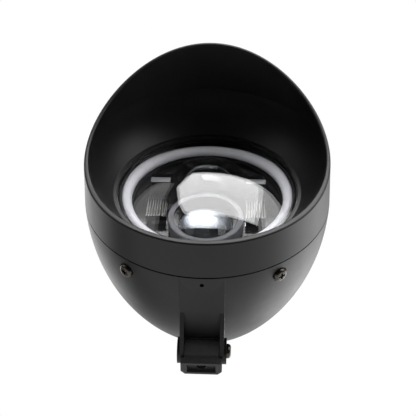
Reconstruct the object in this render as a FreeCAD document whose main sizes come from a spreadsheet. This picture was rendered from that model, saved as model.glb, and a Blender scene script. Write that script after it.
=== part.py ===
import FreeCAD, Part
import math
import os
import re
import Sketcher
from FreeCAD import Placement, Rotation, Vector

# Motorcycle headlight: bullet bucket with a leg, hooded ring, twin lens insert and tilting mount block.
# Lamp pieces are drawn in one lamp frame: across is x, up is y and forward along the lamp's axis is z,
# with zero at the seam between the bucket and the visor ring, and for the insert behind the lip set back.
# The row frame has its origin at the mouth of the mount block's tapped hole, +Z up, the lamp facing -Y.

# Driving dimensions, millimetres
SIZES = {
    "shell_radius": 92.0,
    "shell_wall": 3.0,
    "shell_length": 138.0,
    "nose_radius": 58.0,
    "mouth_step": 4.0,
    "seam_gap": 1.0,
    "seam_recess": 1.4,
    "slip_fit": 0.3,
    "skirt_length": 17.0,
    "skirt_wall": 3.0,
    "skirt_ramp_foot": 8.5,
    "skirt_ramp_top": 13.6,
    "visor_slope": 0.058,
    "visor_low": 29.0,
    "visor_high": 81.5,
    "visor_turn": 63.0,
    "visor_wall": 3.0,
    "rim_round": 1.3,
    "funnel_reach": 38.0,
    "funnel_root": 26.0,
    "insert_back": 4.0,
    "lip_front": 5.0,
    "lip_back": 2.0,
    "lip_width": 2.5,
    "gasket_thick": 1.0,
    "lip_clearance": 0.4,
    "screw_count": 5,
    "screw_behind_seam": 11.5,
    "screw_shank": 2.5,
    "screw_head": 5.2,
    "screw_head_height": 3.3,
    "screw_socket": 1.6,
    "spotface_margin": 0.7,
    "spotface_depth": 0.7,
    "button_edge_share": 0.25,
    "button_brow_share": 0.62,
    "button_bend_share": 1.4,
    "button_floor_share": 0.4,
    "drain_radius": 1.5,
    "drain_behind_seam": 7.4,
    "cover_skirt": 2.2,
    "cover_thick": 2.5,
    "cover_edge": 7.0,
    "cover_crown": 23.0,
    "cover_brow": 1.3,
    "flange_inset": 19.0,
    "flange_width": 7.6,
    "flange_thick": 2.5,
    "halo_clearance": 0.45,
    "halo_tube": 4.15,
    "board_thick": 1.6,
    "board_gap": 0.25,
    "bezel_thick": 2.0,
    "bezel_skirt": 2.7,
    "bezel_depth": 6.0,
    "bezel_wall_width": 4.4,
    "bezel_wall_half": 14.0,
    "bezel_wall_height": 5.0,
    "tub_wall": 2.5,
    "tub_clearance": 3.2,
    "board_clearance": 1.8,
    "part_gap": 0.2,
    "holder_clearance": 0.75,
    "lens_gap": 0.5,
    "lens_crown": 7.0,
    "lens_rim": 1.3,
    "lens_rim_thick": 2.8,
    "holder_collar": 8.6,
    "holder_band": 2.4,
    "low_holder_front": 4.0,
    "high_holder_front": -2.0,
    "holder_ledge": 3.5,
    "spigot_step": 3.7,
    "holder_tail": 9.0,
    "holder_edge": 0.6,
    "cup_flange": 2.0,
    "cup_wall": 1.5,
    "cup_depth": 31.0,
    "cup_throat": 8.0,
    "cup_curve": 25.0,
    "led_board_side": 22.0,
    "led_side": 4.5,
    "led_height": 0.8,
    "bar_clearance": 1.5,
    "bar_corner_gap": 5.37,
    "bar_half": 26.0,
    "bar_front": 2.0,
    "flute_count": 8,
    "flute_sag": 0.9,
    "tray_wall": 1.2,
    "tray_overlap": 0.7,
    "tray_depth": 14.0,
    "driver_inset": 5.5,
    "pedestal_radius": 10.0,
    "sink_inset": 8.0,
    "sink_base": 4.0,
    "fin_height": 19.0,
    "fin_pitch": 8.0,
    "fin_thick": 2.0,
    "fin_slots": 11,
    "clamp_thick": 2.0,
    "boss_radius": 3.8,
    "clamp_screw_shank": 1.6,
    "clamp_screw_head": 3.5,
    "clamp_screw_head_height": 2.4,
    "clamp_screw_length": 8.0,
    "grommet_hole": 7.0,
    "grommet_bore": 3.5,
    "grommet_flange": 10.0,
    "grommet_thick": 2.5,
    "tail_flat": 1.4,
    "pivot_behind_seam": 68.0,
    "pivot_drop": 4.5,
    "pivot_ahead": 2.4,
    "pivot_height": 12.5,
    "leg_width": 31.5,
    "leg_root": 32.2,
    "cheek_gap": 25.5,
    "cheek_start": 34.0,
    "lug_radius": 9.5,
    "ear_width": 35.4,
    "knuckle_radius": 8.5,
    "knuckle_relief": 0.7,
    "knuckle_side_gap": 0.15,
    "neck_front": 3.0,
    "neck_back": 6.5,
    "foot_width": 29.5,
    "foot_half": 5.6,
    "foot_clearance": 0.4,
    "foot_corner": 3.0,
    "slot_length": 20.5,
    "slot_width": 7.5,
    "slot_depth": 3.0,
    "mount_hole": 3.4,
    "mount_hole_depth": 8.0,
    "bolt_radius": 3.0,
    "bolt_running_fit": 0.05,
    "bolt_clearance": 0.2,
    "bolt_head": 5.25,
    "bolt_head_height": 3.2,
    "bolt_socket": 2.2,
    "nut_across_flats": 10.0,
    "nut_thick": 3.2,
    "nut_pocket_fit": 0.15,
    "nut_sink": 0.3,
    "cut_margin": 8.0,
}

doc = FreeCAD.newDocument("headlight")
sheet = doc.addObject("Spreadsheet::Sheet", "Sizes")
for row, (alias, number) in enumerate(SIZES.items(), start=1):
    sheet.set(f"A{row}", alias)
    sheet.set(f"B{row}", str(number))
    sheet.setAlias(f"B{row}", alias)
doc.recompute()

# Sizes that follow from the driving ones, as expressions over them and each other
DERIVED = {
    "nose_centre": "shell_length - nose_radius",
    "flank_radius": "(shell_radius^2 + nose_centre^2 - nose_radius^2) / (2 * (shell_radius - nose_radius))",
    "nose_angle": "atan2(nose_centre; flank_radius - shell_radius)",
    "tail_face": "tail_flat - shell_length",
    "mouth_radius": "shell_radius - mouth_step",
    "skirt_outer": "mouth_radius - slip_fit",
    "skirt_inner": "skirt_outer - skirt_wall",
    "screw_seat": "shell_radius - flank_radius + sqrt(flank_radius^2 - screw_behind_seam^2) - spotface_depth",
    "flange_radius": "shell_radius - flange_inset",
    "cover_bore": "flange_radius - flange_width",
    "cover_outer": "cover_bore + cover_skirt",
    "lip_bore": "cover_outer + lip_clearance",
    "lip_outer": "lip_bore + lip_width",
    "bowl_rim": "shell_radius - visor_slope * funnel_reach - visor_wall",
    "bowl_rise": "bowl_rim - lip_outer",
    "bowl_radius": "(bowl_rise^2 + (funnel_reach - lip_front)^2) / (2 * bowl_rise)",
    "flange_front": "lip_back - gasket_thick",
    "flange_back": "flange_front - flange_thick",
    "clamp_pitch": "flange_radius + part_gap + boss_radius",
    "clamp_radius": "clamp_pitch + boss_radius + part_gap",
    "halo_radius": "cover_bore - halo_clearance - halo_tube",
    "halo_inner": "halo_radius - halo_tube",
    "holder_radius": "(halo_inner - holder_clearance - lens_gap) / 2",
    "holder_spigot": "holder_radius - spigot_step",
    "lens_offset": "holder_radius + lens_gap",
    "lens_radius": "holder_radius - holder_collar",
    "lens_rim_radius": "lens_radius + lens_rim",
    "lens_seat": "-holder_ledge - part_gap",
    "lens_back": "lens_seat - lens_rim_thick",
    "bar_inner": "holder_radius + bar_clearance",
    "bar_outer": "sqrt((halo_inner - bar_corner_gap)^2 - bar_half^2)",
    "bar_width": "bar_outer - bar_inner",
    "tray_inner": "bar_inner - tray_overlap",
    "tray_outer": "bar_outer + tray_overlap",
    "tray_half": "bar_half + tray_overlap",
    "tub_bowl": "sqrt(tray_outer^2 + tray_half^2) + tub_clearance",
    "tub_radius": "tub_bowl + tub_wall",
    "tub_outer": "cover_bore + part_gap + tub_wall",
    "tub_rim_back": "flange_back - tub_wall",
    "bezel_back": "-bezel_depth - bezel_thick",
    "tub_step": "bezel_back - bezel_skirt - bezel_thick",
    "tub_depth": "cup_depth + board_thick * 2 + board_clearance",
    "tub_back": "-tub_depth - tub_wall",
    "driver_radius": "tub_bowl - driver_inset",
    "sink_radius": "tub_radius - sink_inset",
    "sink_fin_top": "tub_back - sink_base",
    "led_back": "-cup_depth - board_thick",
    "clamp_back": "tub_rim_back - clamp_thick",
    "pivot_below_axis": "shell_radius + pivot_drop",
    "axis_height": "pivot_below_axis + pivot_height",
    "relief_radius": "knuckle_radius + knuckle_relief",
}


def bound(text):
    """Expression with each derived size worked out and each driving size written as its cell."""

    def spell(match):
        name = match.group()
        return f"({bound(DERIVED[name])})" if name in DERIVED else f"Sizes.{name}"

    return re.sub(r"\b[a-z][a-z_]*\b(?!\()", spell, text)


def value(text):
    """Number that an expression over the sizes has now."""
    answer = sheet.evalExpression(bound(text))
    return float(getattr(answer, "Value", answer))


def bind(thing, name, text):
    """Ties one property of a document object to the sheet."""
    thing.setExpression(name, bound(text))


def origin_feature(body, role):
    """Plane or axis of a body's own origin."""
    return next(item for item in body.Origin.OriginFeatures if item.Role == role)


def lamp_body(label, up="0", back="0"):
    """Body drawn in the lamp frame, raised by up from the lamp's own axis and set back from the seam."""
    body = doc.addObject("PartDesign::Body", label)
    body.Label = label
    body.Placement = Placement(Vector(), Rotation(Vector(1, 0, 0), 90))
    bind(body, "Placement.Base.y", f"{back} - pivot_behind_seam - pivot_ahead")
    bind(body, "Placement.Base.z", f"axis_height + {up}")
    return body


def insert_body(label, up="0"):
    """Body of the insert, which sits back from the seam."""
    return lamp_body(label, up, "insert_back")


def pivot_body(label, rotation=None):
    """Body drawn round the pivot, which is ahead of the mount hole, in the row's directions unless turned."""
    body = doc.addObject("PartDesign::Body", label)
    body.Label = label
    body.Placement = Placement(Vector(), rotation or Rotation())
    bind(body, "Placement.Base.y", "-pivot_ahead")
    bind(body, "Placement.Base.z", "pivot_height")
    return body


def sketch_on(body, role, offset="0"):
    """Empty sketch on one of the body's origin planes, moved along its normal by offset."""
    sketch = body.newObject("Sketcher::SketchObject", f"{body.Name}_sketch")
    sketch.AttachmentSupport = [(origin_feature(body, role), "")]
    sketch.MapMode = "FlatFace"
    bind(sketch, "AttachmentOffset.Base.z", offset)
    return sketch


def pin(sketch, geometry, end, across, along):
    """Holds one point of a sketch at the place that two expressions give."""
    for kind, text, axis in (("DistanceX", across, -2), ("DistanceY", along, -1)):
        if text == "0":
            sketch.addConstraint(Sketcher.Constraint("PointOnObject", geometry, end, axis))
        else:
            rule = Sketcher.Constraint(kind, -1, 1, geometry, end, value(text))
            bind(sketch, f"Constraints[{sketch.addConstraint(rule)}]", text)


def arc_between(start, end, radius, side):
    """Arc shorter than a half turn from start to end that bends to the given side."""
    chord = end - start
    lift = math.sqrt(max(radius**2 - (chord.Length / 2) ** 2, 0))
    left = Vector(-chord.y, chord.x, 0).normalize()
    centre = (start + end) / 2 + left * (lift if side == "left" else -lift)
    first, last = (start, end) if side == "left" else (end, start)
    angles = [math.atan2(point.y - centre.y, point.x - centre.x) for point in (first, last)]
    return Part.ArcOfCircle(Part.Circle(centre, Vector(0, 0, 1), radius), *angles)


def outline(sketch, corners):
    """Closed outline of corners (across, along), some with a bend (side, radius) for the edge that leaves."""
    points = [Vector(value(corner[0]), value(corner[1]), 0) for corner in corners]
    edges = []
    for index, corner in enumerate(corners):
        start, end = points[index], points[(index + 1) % len(points)]
        if len(corner) == 2:
            edges.append((sketch.addGeometry(Part.LineSegment(start, end)), 1, 2))
        else:
            side, radius = corner[2]
            edge = sketch.addGeometry(arc_between(start, end, value(radius), side))
            edges.append((edge, 1, 2) if side == "left" else (edge, 2, 1))
    for index, (edge, first, last) in enumerate(edges):
        follower, follower_first, _ = edges[(index + 1) % len(edges)]
        sketch.addConstraint(Sketcher.Constraint("Coincident", edge, last, follower, follower_first))
    for (edge, first, _), corner in zip(edges, corners):
        pin(sketch, edge, first, corner[0], corner[1])
        if len(corner) == 3:
            radius = corner[2][1]
            rule = sketch.addConstraint(Sketcher.Constraint("Radius", edge, value(radius)))
            bind(sketch, f"Constraints[{rule}]", radius)


def rectangle(sketch, left, right, low, high):
    """Rectangle between four expressions."""
    outline(sketch, [(left, low), (right, low), (right, high), (left, high)])


def circle(sketch, across, along, radius):
    """Circle about a place that two expressions give."""
    centre = Vector(value(across), value(along), 0)
    edge = sketch.addGeometry(Part.Circle(centre, Vector(0, 0, 1), value(radius)))
    pin(sketch, edge, 3, across, along)
    rule = sketch.addConstraint(Sketcher.Constraint("Radius", edge, value(radius)))
    bind(sketch, f"Constraints[{rule}]", radius)


def hexagon(sketch, across_flats):
    """Hexagon about the sketch's origin with a corner straight up."""
    corner = f"({across_flats}) / sqrt(3)"
    half = f"({across_flats}) / 2"
    ring = [
        ("0", corner),
        (f"-{half}", f"{corner} / 2"),
        (f"-{half}", f"-{corner} / 2"),
        ("0", f"-{corner}"),
        (half, f"-{corner} / 2"),
        (half, f"{corner} / 2"),
    ]
    outline(sketch, ring)


def revolve(body, corners, cut=False):
    """Turns an outline of (radius, along) about the body's z axis, adding or cutting."""
    sketch = sketch_on(body, "XZ_Plane")
    outline(sketch, corners)
    kind = "PartDesign::Groove" if cut else "PartDesign::Revolution"
    feature = body.newObject(kind, f"{body.Name}_turned")
    feature.Profile = sketch
    feature.ReferenceAxis = (sketch, ["V_Axis"])
    feature.Angle = 360
    return feature


def pad(body, sketch, length, both_ways=False):
    """Raises a sketch along its normal, or half each way."""
    feature = body.newObject("PartDesign::Pad", f"{body.Name}_pad")
    feature.Profile = sketch
    feature.SideType = "Symmetric" if both_ways else "One side"
    bind(feature, "Length", length)
    return feature


def pocket(body, sketch, length, both_ways=False, forward=False):
    """Cuts a sketch against its normal, along it with forward, or half each way."""
    feature = body.newObject("PartDesign::Pocket", f"{body.Name}_pocket")
    feature.Profile = sketch
    feature.SideType = "Symmetric" if both_ways else "One side"
    feature.Reversed = forward
    bind(feature, "Length", length)
    return feature


def ring_pattern(body, features, count):
    """Repeats features evenly about the body's z axis."""
    pattern = body.newObject("PartDesign::PolarPattern", f"{body.Name}_ring")
    pattern.Originals = features
    pattern.Axis = (origin_feature(body, "Z_Axis"), [""])
    pattern.Angle = 360
    bind(pattern, "Occurrences", count)
    body.Tip = pattern
    return pattern


def row_pattern(body, feature, count, length):
    """Repeats one feature evenly across the body's x axis."""
    pattern = body.newObject("PartDesign::LinearPattern", f"{body.Name}_row")
    pattern.Originals = [feature]
    pattern.Direction = (origin_feature(body, "X_Axis"), [""])
    bind(pattern, "Length", length)
    bind(pattern, "Occurrences", count)
    body.Tip = pattern
    return pattern


def radial_hole(body, along, radius, reach, from_height="0", upward=True):
    """Round hole across the lamp's axis, upward or downward from a height."""
    sketch = sketch_on(body, "XZ_Plane", f"-({from_height})" if upward else from_height)
    circle(sketch, "0", along, radius)
    return pocket(body, sketch, reach, forward=not upward)


def nose_join(wall):
    """Point where the flank's arc meets the nose's arc, both moved in by a wall."""
    reach = f"(nose_radius - {wall})"
    return (
        f"{reach} * cos(nose_angle)",
        f"-nose_centre - {reach} * sin(nose_angle)",
    )


def make_bucket():
    """Bullet shell, cast with its leg, cheeks and pivot ears, bored for screws, drain, wires and pivot."""
    body = lamp_body("bucket")
    revolve(body, bullet_outline())
    add_leg(body)
    revolve(body, hollow_outline(), cut=True)
    flat = sketch_on(body, "XY_Plane", "tail_face")
    circle(flat, "0", "0", "grommet_flange + cut_margin")
    pocket(body, flat, "tail_flat + cut_margin")
    hole = sketch_on(body, "XY_Plane", "tail_face")
    circle(hole, "0", "0", "grommet_hole")
    pocket(body, hole, "shell_wall + cut_margin", forward=True)
    seat = radial_hole(
        body, "-screw_behind_seam", "screw_head + spotface_margin", "shell_radius", "screw_seat"
    )
    bore = radial_hole(body, "-screw_behind_seam", "screw_shank + slip_fit", "shell_radius")
    ring_pattern(body, [seat, bore], "screw_count")
    radial_hole(body, "-drain_behind_seam", "drain_radius", "shell_radius * 2", upward=False)
    return body


def bullet_outline():
    """Solid bullet: flank arc and round nose, tangent to each other and square to the seam."""
    join = nose_join("0")
    return [
        ("0", "-seam_gap"),
        ("0", "-shell_length", ("left", "nose_radius")),
        (join[0], join[1], ("left", "flank_radius")),
        ("shell_radius - flank_radius + sqrt(flank_radius^2 - seam_gap^2)", "-seam_gap"),
    ]


def hollow_outline():
    """Inside of the bullet: bored mouth for the visor ring's skirt, then an even wall."""
    join = nose_join("shell_wall")
    inner_flank = "(flank_radius - shell_wall)"
    bore_end = f"-sqrt({inner_flank}^2 - (mouth_radius + flank_radius - shell_radius)^2)"
    return [
        ("0", "shell_wall"),
        ("0", "-shell_length + shell_wall", ("left", "nose_radius - shell_wall")),
        (join[0], join[1], ("left", inner_flank)),
        ("mouth_radius", bore_end),
        ("mouth_radius", "shell_wall"),
    ]


def add_leg(body):
    """Flat leg under the shell, two cheeks that sweep down to round ears, and room for the knuckle."""
    pivot_up = "-pivot_below_axis"
    pivot_along = "-pivot_behind_seam"
    buried = "leg_root - shell_radius"
    run = "(pivot_behind_seam - cheek_start)"
    tangent = f"(atan2({run}; pivot_drop) + acos(lug_radius / sqrt({run}^2 + pivot_drop^2)))"
    heel = f"{pivot_along} - lug_radius"

    slab = sketch_on(body, "YZ_Plane")
    outline(
        slab,
        [
            (buried, heel),
            (buried, "-seam_gap"),
            ("-sqrt(shell_radius^2 - leg_width^2 / 4)", "-seam_gap"),
            ("-shell_radius", "-cheek_start"),
            ("-shell_radius", heel),
        ],
    )
    pad(body, slab, "leg_width", both_ways=True)

    cheeks = sketch_on(body, "YZ_Plane")
    touch_up = f"{pivot_up} + lug_radius * cos({tangent})"
    touch_along = f"{pivot_along} + lug_radius * sin({tangent})"
    outline(
        cheeks,
        [
            (buried, heel),
            (buried, "-cheek_start"),
            ("-shell_radius", "-cheek_start"),
            (touch_up, touch_along, ("left", "lug_radius")),
            (pivot_up, heel),
        ],
    )
    pad(body, cheeks, "leg_width", both_ways=True)

    ears = sketch_on(body, "YZ_Plane")
    circle(ears, pivot_up, pivot_along, "lug_radius")
    pad(body, ears, "ear_width", both_ways=True)

    room = sketch_on(body, "YZ_Plane")
    below = "-pivot_below_axis - lug_radius - cut_margin"
    behind = f"{heel} - cut_margin"
    relief_edge = f"{pivot_along} + sqrt(relief_radius^2 - pivot_drop^2)"
    ceiling = f"{pivot_up} + relief_radius"
    outline(
        room,
        [
            ("-shell_radius", "-seam_gap"),
            ("-shell_radius", relief_edge, ("right", "relief_radius")),
            (ceiling, pivot_along),
            (ceiling, behind),
            (below, behind),
            (below, "-seam_gap"),
        ],
    )
    pocket(body, room, "cheek_gap", both_ways=True)

    bore = sketch_on(body, "YZ_Plane")
    circle(bore, pivot_up, pivot_along, "bolt_radius + bolt_clearance")
    pocket(body, bore, "ear_width + cut_margin", both_ways=True)


def sink_nut(body):
    """Hexagonal pocket for the pivot nut in the outer face of the left ear."""
    seat = sketch_on(body, "YZ_Plane", "-ear_width / 2 + nut_sink + nut_thick")
    corner = "(nut_across_flats / 2 + nut_pocket_fit) * 2 / sqrt(3)"
    flat = "(nut_across_flats / 2 + nut_pocket_fit)"
    up, along = "-pivot_below_axis", "-pivot_behind_seam"
    ring = [
        (f"{up} + {corner}", along),
        (f"{up} + {corner} / 2", f"{along} + {flat}"),
        (f"{up} - {corner} / 2", f"{along} + {flat}"),
        (f"{up} - {corner}", along),
        (f"{up} - {corner} / 2", f"{along} - {flat}"),
        (f"{up} + {corner} / 2", f"{along} - {flat}"),
    ]
    outline(seat, ring)
    pocket(body, seat, "nut_sink + nut_thick + cut_margin")


def boss_top():
    """Height at which a clamp screw's boss ends inside the bowl's wall."""
    inner_side = "(clamp_pitch - boss_radius - bowl_rim + bowl_radius)"
    return f"(funnel_reach - sqrt(bowl_radius^2 - {inner_side}^2) - visor_wall / 3)"


def make_visor_ring():
    """Tapered ring with a bowl, inner lip and skirt, cut to the hood's side line and rounded at its rim."""
    body = lamp_body("visor_ring")
    stock = "(visor_high + cut_margin)"
    revolve(
        body,
        [
            ("shell_radius", "0"),
            (f"shell_radius - visor_slope * {stock}", stock),
            (f"shell_radius - visor_slope * {stock} - visor_wall", stock),
            ("bowl_rim", "funnel_reach", ("right", "bowl_radius")),
            ("lip_outer", "lip_front"),
            ("lip_bore", "lip_front"),
            ("lip_bore", "lip_back - insert_back"),
            ("lip_outer + visor_wall", "lip_back - insert_back"),
            ("lip_outer + visor_wall", "lip_back", ("left", "bowl_radius + visor_wall")),
            ("shell_radius - visor_slope * funnel_root - visor_wall", "funnel_root"),
            ("shell_radius - visor_slope * skirt_ramp_top - visor_wall", "skirt_ramp_top"),
            ("skirt_inner", "skirt_ramp_foot"),
            ("skirt_inner", "-skirt_length"),
            ("skirt_outer", "-skirt_length"),
            ("skirt_outer", "0"),
        ],
    )
    side = sketch_on(body, "YZ_Plane")
    past = "(shell_radius + cut_margin)"
    tip = "(shell_radius - visor_slope * visor_high)"
    rise = "(visor_high - visor_low)"
    outline(
        side,
        [
            (f"-{past}", "visor_low"),
            ("-visor_turn", "visor_low", ("left", f"((visor_turn + {tip})^2 + {rise}^2) / (2 * {rise})")),
            (tip, "visor_high"),
            (past, "visor_high"),
            (past, f"{stock} + cut_margin"),
            (f"-{past}", f"{stock} + cut_margin"),
        ],
    )
    hood = pocket(body, side, f"{past} * 2", both_ways=True)
    doc.recompute()
    rim = body.newObject("PartDesign::Fillet", "visor_ring_rim")
    rim.Base = (hood, rim_edges(hood.Shape))
    bind(rim, "Radius", "rim_round")

    boss_foot = "(tub_rim_back - insert_back)"
    post = sketch_on(body, "XY_Plane", boss_foot)
    circle(post, "0", "-clamp_pitch", "boss_radius")
    boss = pad(body, post, f"{boss_top()} - {boss_foot}")
    core = sketch_on(body, "XY_Plane", boss_foot)
    circle(core, "0", "-clamp_pitch", "clamp_screw_shank")
    thread = pocket(body, core, "clamp_screw_length", forward=True)
    ring_pattern(body, [boss, thread], "screw_count")
    tapped = radial_hole(body, "-screw_behind_seam", "screw_shank", "shell_radius")
    ring_pattern(body, [tapped], "screw_count")
    radial_hole(body, "-drain_behind_seam", "drain_radius", "shell_radius", upward=False)
    return body


def rim_edges(shape):
    """Names of the edges round the hood's cut rim."""
    low, high, turn = value("visor_low"), value("visor_high"), value("visor_turn")
    tip = value("shell_radius - visor_slope * visor_high")
    bend = ((turn + tip) ** 2 + (high - low) ** 2) / (2 * (high - low))

    def off_rim(point):
        past = max(point.y + turn, 0)
        return abs(point.z - (low + bend - math.sqrt(max(bend**2 - past**2, 0))))

    names = []
    for number, edge in enumerate(shape.Edges, start=1):
        points = edge.discretize(5)
        straight = max(point.y for point in points) - min(point.y for point in points) < 1e-3
        if not straight and max(off_rim(point) for point in points) < 0.01:
            names.append(f"Edge{number}")
    return names


def make_ring(body, inner, outer, back, front):
    """Flat ring about a body's axis."""
    revolve(body, [(inner, back), (outer, back), (outer, front), (inner, front)])
    return body


def button_profile(seat, shank, head, height, socket, tip):
    """Half outline, as (radius, along), of a button head screw with a round socket."""
    top = f"{seat} + {height}"
    floor = f"{seat} + {height} * button_floor_share"
    return [
        ("0", tip),
        (shank, tip),
        (shank, seat),
        (head, seat),
        (head, f"{seat} + {height} * button_edge_share", ("left", f"{height} * button_bend_share")),
        (f"{head} * button_brow_share", top),
        (socket, top),
        (socket, floor),
        ("0", floor),
    ]


def make_visor_screws():
    """Button head screws that hold the visor ring's skirt in the bucket."""
    body = lamp_body("visor_screws")
    sketch = sketch_on(body, "YZ_Plane")
    profile = button_profile(
        "screw_seat", "screw_shank", "screw_head", "screw_head_height", "screw_socket", "skirt_inner"
    )
    outline(sketch, [(along, f"-screw_behind_seam - {radius}", *bend) for radius, along, *bend in profile])
    axis = sketch.addGeometry(Part.LineSegment(Vector(0, -1, 0), Vector(1, -1, 0)), True)
    pin(sketch, axis, 1, "0", "-screw_behind_seam")
    pin(sketch, axis, 2, "shell_radius", "-screw_behind_seam")
    screw = body.newObject("PartDesign::Revolution", "visor_screws_turned")
    screw.Profile = sketch
    screw.ReferenceAxis = (sketch, ["Axis0"])
    screw.Angle = 360
    ring_pattern(body, [screw], "screw_count")
    return body


def make_lens_cover():
    """Clear cover: shallow dome, short skirt and the flange that the insert hangs by."""
    body = insert_body("lens_cover")
    brow = "(cover_outer - cover_brow)"
    dome = f"(({brow}^2 + (cover_crown - cover_edge)^2) / (2 * (cover_crown - cover_edge)))"
    inner_brow = "(cover_bore - cover_brow)"
    inner_edge = f"cover_crown - {dome} + sqrt(({dome} - cover_thick)^2 - {inner_brow}^2)"
    revolve(
        body,
        [
            ("0", "cover_crown", ("right", dome)),
            (brow, "cover_edge"),
            ("cover_outer", "cover_edge - cover_brow"),
            ("cover_outer", "flange_front"),
            ("flange_radius", "flange_front"),
            ("flange_radius", "flange_back"),
            ("cover_bore", "flange_back"),
            ("cover_bore", f"{inner_edge} - cover_brow"),
            (inner_brow, inner_edge, ("left", f"{dome} - cover_thick")),
            ("0", "cover_crown - cover_thick"),
        ],
    )
    return body


def make_halo():
    """Round light guide behind the cover's edge."""
    halo = doc.addObject("Part::Torus", "halo_light_guide")
    halo.Label = "halo_light_guide"
    bind(halo, "Radius1", "halo_radius")
    bind(halo, "Radius2", "halo_tube")
    halo.Placement = Placement(Vector(), Rotation(Vector(1, 0, 0), 90))
    bind(halo, "Placement.Base.y", "insert_back - pivot_behind_seam - pivot_ahead")
    bind(halo, "Placement.Base.z", "axis_height")
    return halo


def make_inner_bezel():
    """Black mask with a skirt, two round windows, two bar windows and two upright walls."""
    body = insert_body("inner_bezel")
    outer = "(cover_bore - part_gap)"
    revolve(
        body,
        [
            ("0", "-bezel_depth"),
            (outer, "-bezel_depth"),
            (outer, "tub_step"),
            (f"{outer} - bezel_skirt", "tub_step"),
            (f"{outer} - bezel_skirt", "bezel_back"),
            ("0", "bezel_back"),
        ],
    )
    for side in ("", "-"):
        wall = sketch_on(body, "XY_Plane", "-bezel_depth")
        near, far = f"{side}(bar_inner - part_gap - bezel_wall_width)", f"{side}(bar_inner - part_gap)"
        rectangle(wall, near, far, "-bezel_wall_half", "bezel_wall_half")
        pad(body, wall, "bezel_wall_height")
    windows = sketch_on(body, "XY_Plane", "-bezel_depth")
    for side in ("", "-"):
        circle(windows, "0", f"{side}lens_offset", "holder_spigot + slip_fit")
        near, far = f"{side}(bar_inner - part_gap)", f"{side}(bar_outer + part_gap)"
        rectangle(windows, near, far, "-bar_half - part_gap", "bar_half + part_gap")
    pocket(body, windows, "bezel_thick * 2")
    return body


def make_lens_stack(name, up, holder_front):
    """One projector: lens, holder, reflector cup and the board with its light source."""
    lens = insert_body(f"{name}_lens", up)
    dome = "((lens_radius^2 + lens_crown^2) / (2 * lens_crown))"
    revolve(
        lens,
        [
            ("0", "lens_seat + lens_crown", ("right", dome)),
            ("lens_radius", "lens_seat"),
            ("lens_rim_radius", "lens_seat"),
            ("lens_rim_radius", "lens_back"),
            ("0", "lens_back"),
        ],
    )
    holder = insert_body(f"{name}_holder", up)
    bore = "(lens_rim_radius + part_gap)"
    throat = "(lens_radius + slip_fit)"
    revolve(
        holder,
        [
            ("holder_radius", "-bezel_depth"),
            ("holder_radius", f"{holder_front} - holder_edge"),
            ("holder_radius - holder_edge", holder_front),
            ("holder_radius - holder_band", holder_front),
            (throat, "-holder_ledge"),
            (bore, "-holder_ledge"),
            (bore, "-holder_tail"),
            ("holder_spigot", "-holder_tail"),
            ("holder_spigot", "-bezel_depth"),
        ],
    )
    cup = insert_body(f"{name}_reflector", up)
    step = "-holder_tail - cup_flange"
    mouth = "(lens_rim_radius - cup_wall)"
    revolve(
        cup,
        [
            ("lens_rim_radius", "lens_back"),
            (mouth, "lens_back"),
            (mouth, step, ("right", "cup_curve")),
            ("cup_throat", "-cup_depth"),
            ("cup_throat + cup_wall", "-cup_depth", ("left", "cup_curve + cup_wall")),
            ("lens_rim_radius", step),
            ("holder_spigot - part_gap", step),
            ("holder_spigot - part_gap", "-holder_tail"),
            ("lens_rim_radius", "-holder_tail"),
        ],
    )
    board = insert_body(f"{name}_led_board", up)
    plate = sketch_on(board, "XY_Plane", "led_back")
    half = "led_board_side / 2"
    rectangle(plate, f"-{half}", half, f"-{half}", half)
    pad(board, plate, "board_thick")
    chip = sketch_on(board, "XY_Plane", "-cup_depth")
    half = "led_side / 2"
    rectangle(chip, f"-{half}", half, f"-{half}", half)
    pad(board, chip, "led_height")
    return [lens, holder, cup, board]


def make_side_pair(name, side):
    """One clear fluted bar and the bright tray behind it."""
    bar = insert_body(f"{name}_side_optic")
    sketch = sketch_on(bar, "YZ_Plane", "bar_inner" if side == "" else "-bar_outer")
    pitch = "(bar_half * 2 / flute_count)"
    bend = ("left", f"(({pitch} / 2)^2 + flute_sag^2) / (2 * flute_sag)")
    valley = "bar_front - flute_sag"
    flutes = [(f"bar_half - {pitch} * {index}", valley, bend) for index in range(int(value("flute_count")))]
    outline(sketch, flutes + [("-bar_half", valley), ("-bar_half", "bezel_back"), ("bar_half", "bezel_back")])
    pad(bar, sketch, "bar_width")

    tray = insert_body(f"{name}_side_reflector")
    block = sketch_on(tray, "XY_Plane", "bezel_back - tray_depth")
    rectangle(block, f"{side}tray_inner", f"{side}tray_outer", "-tray_half", "tray_half")
    pad(tray, block, "tray_depth")
    well = sketch_on(tray, "XY_Plane", "bezel_back")
    near, far = f"{side}(tray_inner + tray_wall)", f"{side}(tray_outer - tray_wall)"
    rectangle(well, near, far, "tray_wall - tray_half", "tray_half - tray_wall")
    pocket(tray, well, "tray_depth - tray_wall")
    return [bar, tray]


def pedestal_holes(body, back, depth):
    """Two round holes that let the heat sink's pedestals through."""
    holes = sketch_on(body, "XY_Plane", back)
    for side in ("", "-"):
        circle(holes, "0", f"{side}lens_offset", "pedestal_radius + slip_fit")
    pocket(body, holes, depth, forward=True)


def make_insert_housing():
    """Stepped tub behind the cover, with holes in its floor for the pedestals."""
    body = insert_body("insert_housing")
    rim = "(cover_bore + part_gap)"
    revolve(
        body,
        [
            (rim, "flange_back"),
            (rim, "tub_step"),
            ("tub_bowl", "tub_step"),
            ("tub_bowl", "-tub_depth"),
            ("0", "-tub_depth"),
            ("0", "tub_back"),
            ("tub_radius", "tub_back"),
            ("tub_radius", "tub_step - tub_wall"),
            ("tub_outer", "tub_step - tub_wall"),
            ("tub_outer", "tub_rim_back"),
            ("flange_radius", "tub_rim_back"),
            ("flange_radius", "flange_back"),
        ],
    )
    pedestal_holes(body, "tub_back", "tub_wall")
    return body


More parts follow.
